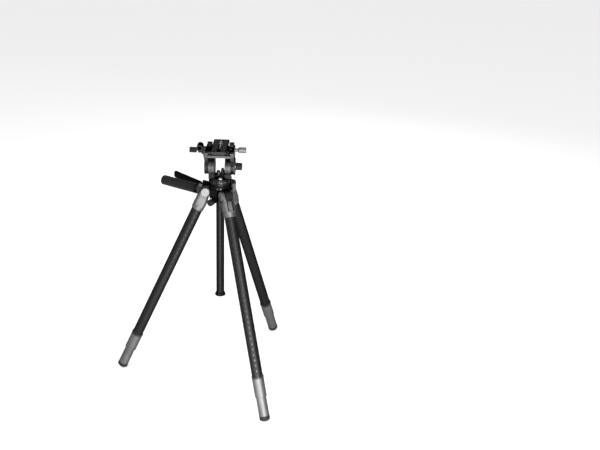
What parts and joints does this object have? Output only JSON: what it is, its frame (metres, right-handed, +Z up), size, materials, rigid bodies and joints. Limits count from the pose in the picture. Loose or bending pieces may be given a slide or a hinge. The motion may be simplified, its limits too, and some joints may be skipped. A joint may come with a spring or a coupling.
{
  "type": "video tripod",
  "caption": "Collapsed carbon-fibre tripod with a fluid video head on a sliding centre column and a squeeze handle that releases the legs.",
  "frame": {"origin": "on the floor under the middle of the footprint's box; the centre column's axis is 86.1 mm along +X from it", "axes": "+Z up, +Y the way the lens points, +X to the operator's right; one leg lies along -X"},
  "size_m": [0.5538, 0.6338, 0.846],
  "materials": {
    "black_metal": "satin black anodised aluminium",
    "drum_metal": "turned and black anodised aluminium",
    "black_knob": "moulded matt black plastic",
    "bright_alloy": "bright turned metal",
    "cast_alloy": "satin grey anodised aluminium",
    "carbon_tube": "clear-coated carbon fibre weave",
    "grip_foam": "closed-cell foam",
    "foot_rubber": "matt rubber",
    "seal_rubber": "satin rubber",
    "pad_rubber": "ribbed rubber",
    "bush_plastic": "low-friction plastic",
    "bubble_glass": "clear vial over a green fluid"
  },
  "bodies": {
    "crown": {"spider": "black_metal", "column_bush": "bush_plastic", "hinge_bolts": "bright_alloy", "handle_bracket": "black_metal"},
    "column_knob": {"column_knob": "black_knob"},
    "left_leg": {"left_leg_casting": "cast_alloy", "left_upper_tube": "carbon_tube", "left_leg_seal": "seal_rubber"},
    "left_stop_tab": {"left_stop_tab": "black_knob"},
    "left_mid_section": {"left_mid_tube": "carbon_tube", "left_mid_collar": "cast_alloy"},
    "left_low_section": {"left_low_tube": "carbon_tube", "left_foot_sleeve": "cast_alloy", "left_foot": "foot_rubber"},
    "front_leg": {"front_leg_casting": "cast_alloy", "front_upper_tube": "carbon_tube", "front_leg_seal": "seal_rubber"},
    "front_stop_tab": {"front_stop_tab": "black_knob"},
    "front_mid_section": {"front_mid_tube": "carbon_tube", "front_mid_collar": "cast_alloy"},
    "front_low_section": {"front_low_tube": "carbon_tube", "front_foot_sleeve": "cast_alloy", "front_foot": "foot_rubber"},
    "back_leg": {"back_leg_casting": "cast_alloy", "back_upper_tube": "carbon_tube", "back_leg_seal": "seal_rubber"},
    "back_stop_tab": {"back_stop_tab": "black_knob"},
    "back_mid_section": {"back_mid_tube": "carbon_tube", "back_mid_collar": "cast_alloy"},
    "back_low_section": {"back_low_tube": "carbon_tube", "back_foot_sleeve": "cast_alloy", "back_foot": "foot_rubber"},
    "column": {"column_tube": "black_metal", "column_platform": "black_metal", "column_cap": "black_metal", "head_screw": "bright_alloy", "head_base": "black_metal"},
    "hook": {"column_hook": "bright_alloy"},
    "handle": {"handle_arm": "black_metal", "handle_grip": "grip_foam", "handle_pins": "bright_alloy"},
    "lever": {"handle_lever": "black_metal"},
    "plunger": {"release_plunger": "bright_alloy"},
    "pan": {"pan_housing": "black_metal", "bubble_level": "bubble_glass", "tilt_drums": "drum_metal"},
    "drag_knob": {"drag_knob": "black_knob"},
    "cradle": {"cradle": "black_metal", "tilt_axles": "bright_alloy", "side_cover_left": "black_metal", "side_cover_right": "black_metal", "plate_receiver": "black_metal"},
    "tilt_knob": {"tilt_knob": "black_knob"},
    "panbar_clamp": {"panbar_clamp": "black_metal"},
    "panbar_knob": {"panbar_knob": "black_knob"},
    "clamp_jaw": {"clamp_jaw": "black_metal"},
    "clamp_knob": {"clamp_knob": "bright_alloy"},
    "plate": {"camera_plate": "black_metal", "plate_pads": "pad_rubber"},
    "camera_screw": {"camera_screw": "bright_alloy"}
  },
  "joints": [
    {"name": "left_leg_fold", "type": "hinge", "parent": "crown", "child": "left_leg", "pos_m": [0.03959, 0, 0.68358], "axis": [0, -1, 0], "range_deg": [0, 22]},
    {"name": "left_stop_tab_pull", "type": "slide", "parent": "left_leg", "child": "left_stop_tab", "axis": [-0.9135, 0, 0.4067], "range_m": [0, 0.008], "stiffness_N_per_m": 600, "springref_m": -0.004},
    {"name": "left_mid_slide", "type": "slide", "parent": "left_leg", "child": "left_mid_section", "axis": [-0.4067, 0, -0.9135], "range_m": [0, 0.4]},
    {"name": "left_low_slide", "type": "slide", "parent": "left_mid_section", "child": "left_low_section", "axis": [-0.4067, 0, -0.9135], "range_m": [0, 0.4]},
    {"name": "front_leg_fold", "type": "hinge", "parent": "crown", "child": "front_leg", "pos_m": [0.10934, -0.04027, 0.68358], "axis": [0.866, 0.5, 0], "range_deg": [0, 22]},
    {"name": "front_stop_tab_pull", "type": "slide", "parent": "front_leg", "child": "front_stop_tab", "axis": [0.4568, -0.7912, 0.4067], "range_m": [0, 0.008], "stiffness_N_per_m": 600, "springref_m": -0.004},
    {"name": "front_mid_slide", "type": "slide", "parent": "front_leg", "child": "front_mid_section", "axis": [0.2034, -0.3522, -0.9135], "range_m": [0, 0.4]},
    {"name": "front_low_slide", "type": "slide", "parent": "front_mid_section", "child": "front_low_section", "axis": [0.2034, -0.3522, -0.9135], "range_m": [0, 0.4]},
    {"name": "back_leg_fold", "type": "hinge", "parent": "crown", "child": "back_leg", "pos_m": [0.10934, 0.04027, 0.68358], "axis": [-0.866, 0.5, 0], "range_deg": [0, 22]},
    {"name": "back_stop_tab_pull", "type": "slide", "parent": "back_leg", "child": "back_stop_tab", "axis": [0.4568, 0.7912, 0.4067], "range_m": [0, 0.008], "stiffness_N_per_m": 600, "springref_m": -0.004},
    {"name": "back_mid_slide", "type": "slide", "parent": "back_leg", "child": "back_mid_section", "axis": [0.2034, 0.3522, -0.9135], "range_m": [0, 0.4]},
    {"name": "back_low_slide", "type": "slide", "parent": "back_mid_section", "child": "back_low_section", "axis": [0.2034, 0.3522, -0.9135], "range_m": [0, 0.4]},
    {"name": "column_lift", "type": "slide", "parent": "crown", "child": "column", "axis": [0, 0, 1], "range_m": [0, 0.309]},
    {"name": "column_knob_turn", "type": "hinge", "parent": "crown", "child": "column_knob", "pos_m": [0.06709, -0.03291, 0.65958], "axis": [-0.5, -0.866, 0], "range_deg": [0, 270]},
    {"name": "hook_swivel", "type": "hinge", "parent": "column", "child": "hook", "pos_m": [0.08609, 0, 0.30748], "axis": [0, 0, 1], "continuous": true},
    {"name": "handle_fold", "type": "hinge", "parent": "crown", "child": "handle", "pos_m": [0.02281, 0.05039, 0.66558], "axis": [-0.5, -0.866, 0], "range_deg": [0, 90]},
    {"name": "lever_squeeze", "type": "hinge", "parent": "handle", "child": "lever", "pos_m": [0.03088, 0.08037, 0.66358], "axis": [0, 0, 1], "range_deg": [0, 12], "stiffness_Nm_per_rad": 5, "springref_deg": -8.59},
    {"name": "plunger_push", "type": "slide", "parent": "handle", "child": "plunger", "axis": [-0.5, -0.866, 0], "range_m": [0, 0.0024]},
    {"name": "pan_turn", "type": "hinge", "parent": "column", "child": "pan", "pos_m": [0.08609, 0, 0.71958], "axis": [0, 0, 1], "continuous": true},
    {"name": "drag_knob_turn", "type": "hinge", "parent": "pan", "child": "drag_knob", "pos_m": [0.09409, 0, 0.74258], "axis": [0, 0, 1], "range_deg": [0, 270]},
    {"name": "tilt", "type": "hinge", "parent": "pan", "child": "cradle", "pos_m": [0.08609, 0, 0.77058], "axis": [1, 0, 0], "range_deg": [-85, 70]},
    {"name": "tilt_knob_turn", "type": "hinge", "parent": "cradle", "child": "tilt_knob", "pos_m": [0.13479, 0, 0.77058], "axis": [1, 0, 0], "range_deg": [0, 270]},
    {"name": "panbar_clamp_turn", "type": "hinge", "parent": "cradle", "child": "panbar_clamp", "pos_m": [0.02609, 0, 0.82258], "axis": [1, 0, 0], "range_deg": [-60, 60]},
    {"name": "panbar_knob_turn", "type": "hinge", "parent": "panbar_clamp", "child": "panbar_knob", "pos_m": [0.00609, 0, 0.82258], "axis": [1, 0, 0], "range_deg": [0, 360]},
    {"name": "clamp_knob_turn", "type": "hinge", "parent": "cradle", "child": "clamp_knob", "pos_m": [0.14609, 0, 0.82658], "axis": [1, 0, 0], "range_deg": [0, 540]},
    {"name": "clamp_jaw_slide", "type": "slide", "parent": "cradle", "child": "clamp_jaw", "axis": [1, 0, 0], "range_m": [0, 0.003]},
    {"name": "plate_slide", "type": "slide", "parent": "cradle", "child": "plate", "axis": [0, 1, 0], "range_m": [-0.03, 0.03]},
    {"name": "camera_screw_turn", "type": "hinge", "parent": "plate", "child": "camera_screw", "pos_m": [0.08609, 0.018, 0.83358], "axis": [0, 0, 1], "continuous": true}
  ],
  "couplings": [
    {"joint": "plunger_push", "follows": "lever_squeeze", "m_per_rad": 0.0108},
    {"joint": "clamp_jaw_slide", "follows": "clamp_knob_turn", "m_per_rad": 0.00031799}
  ]
}
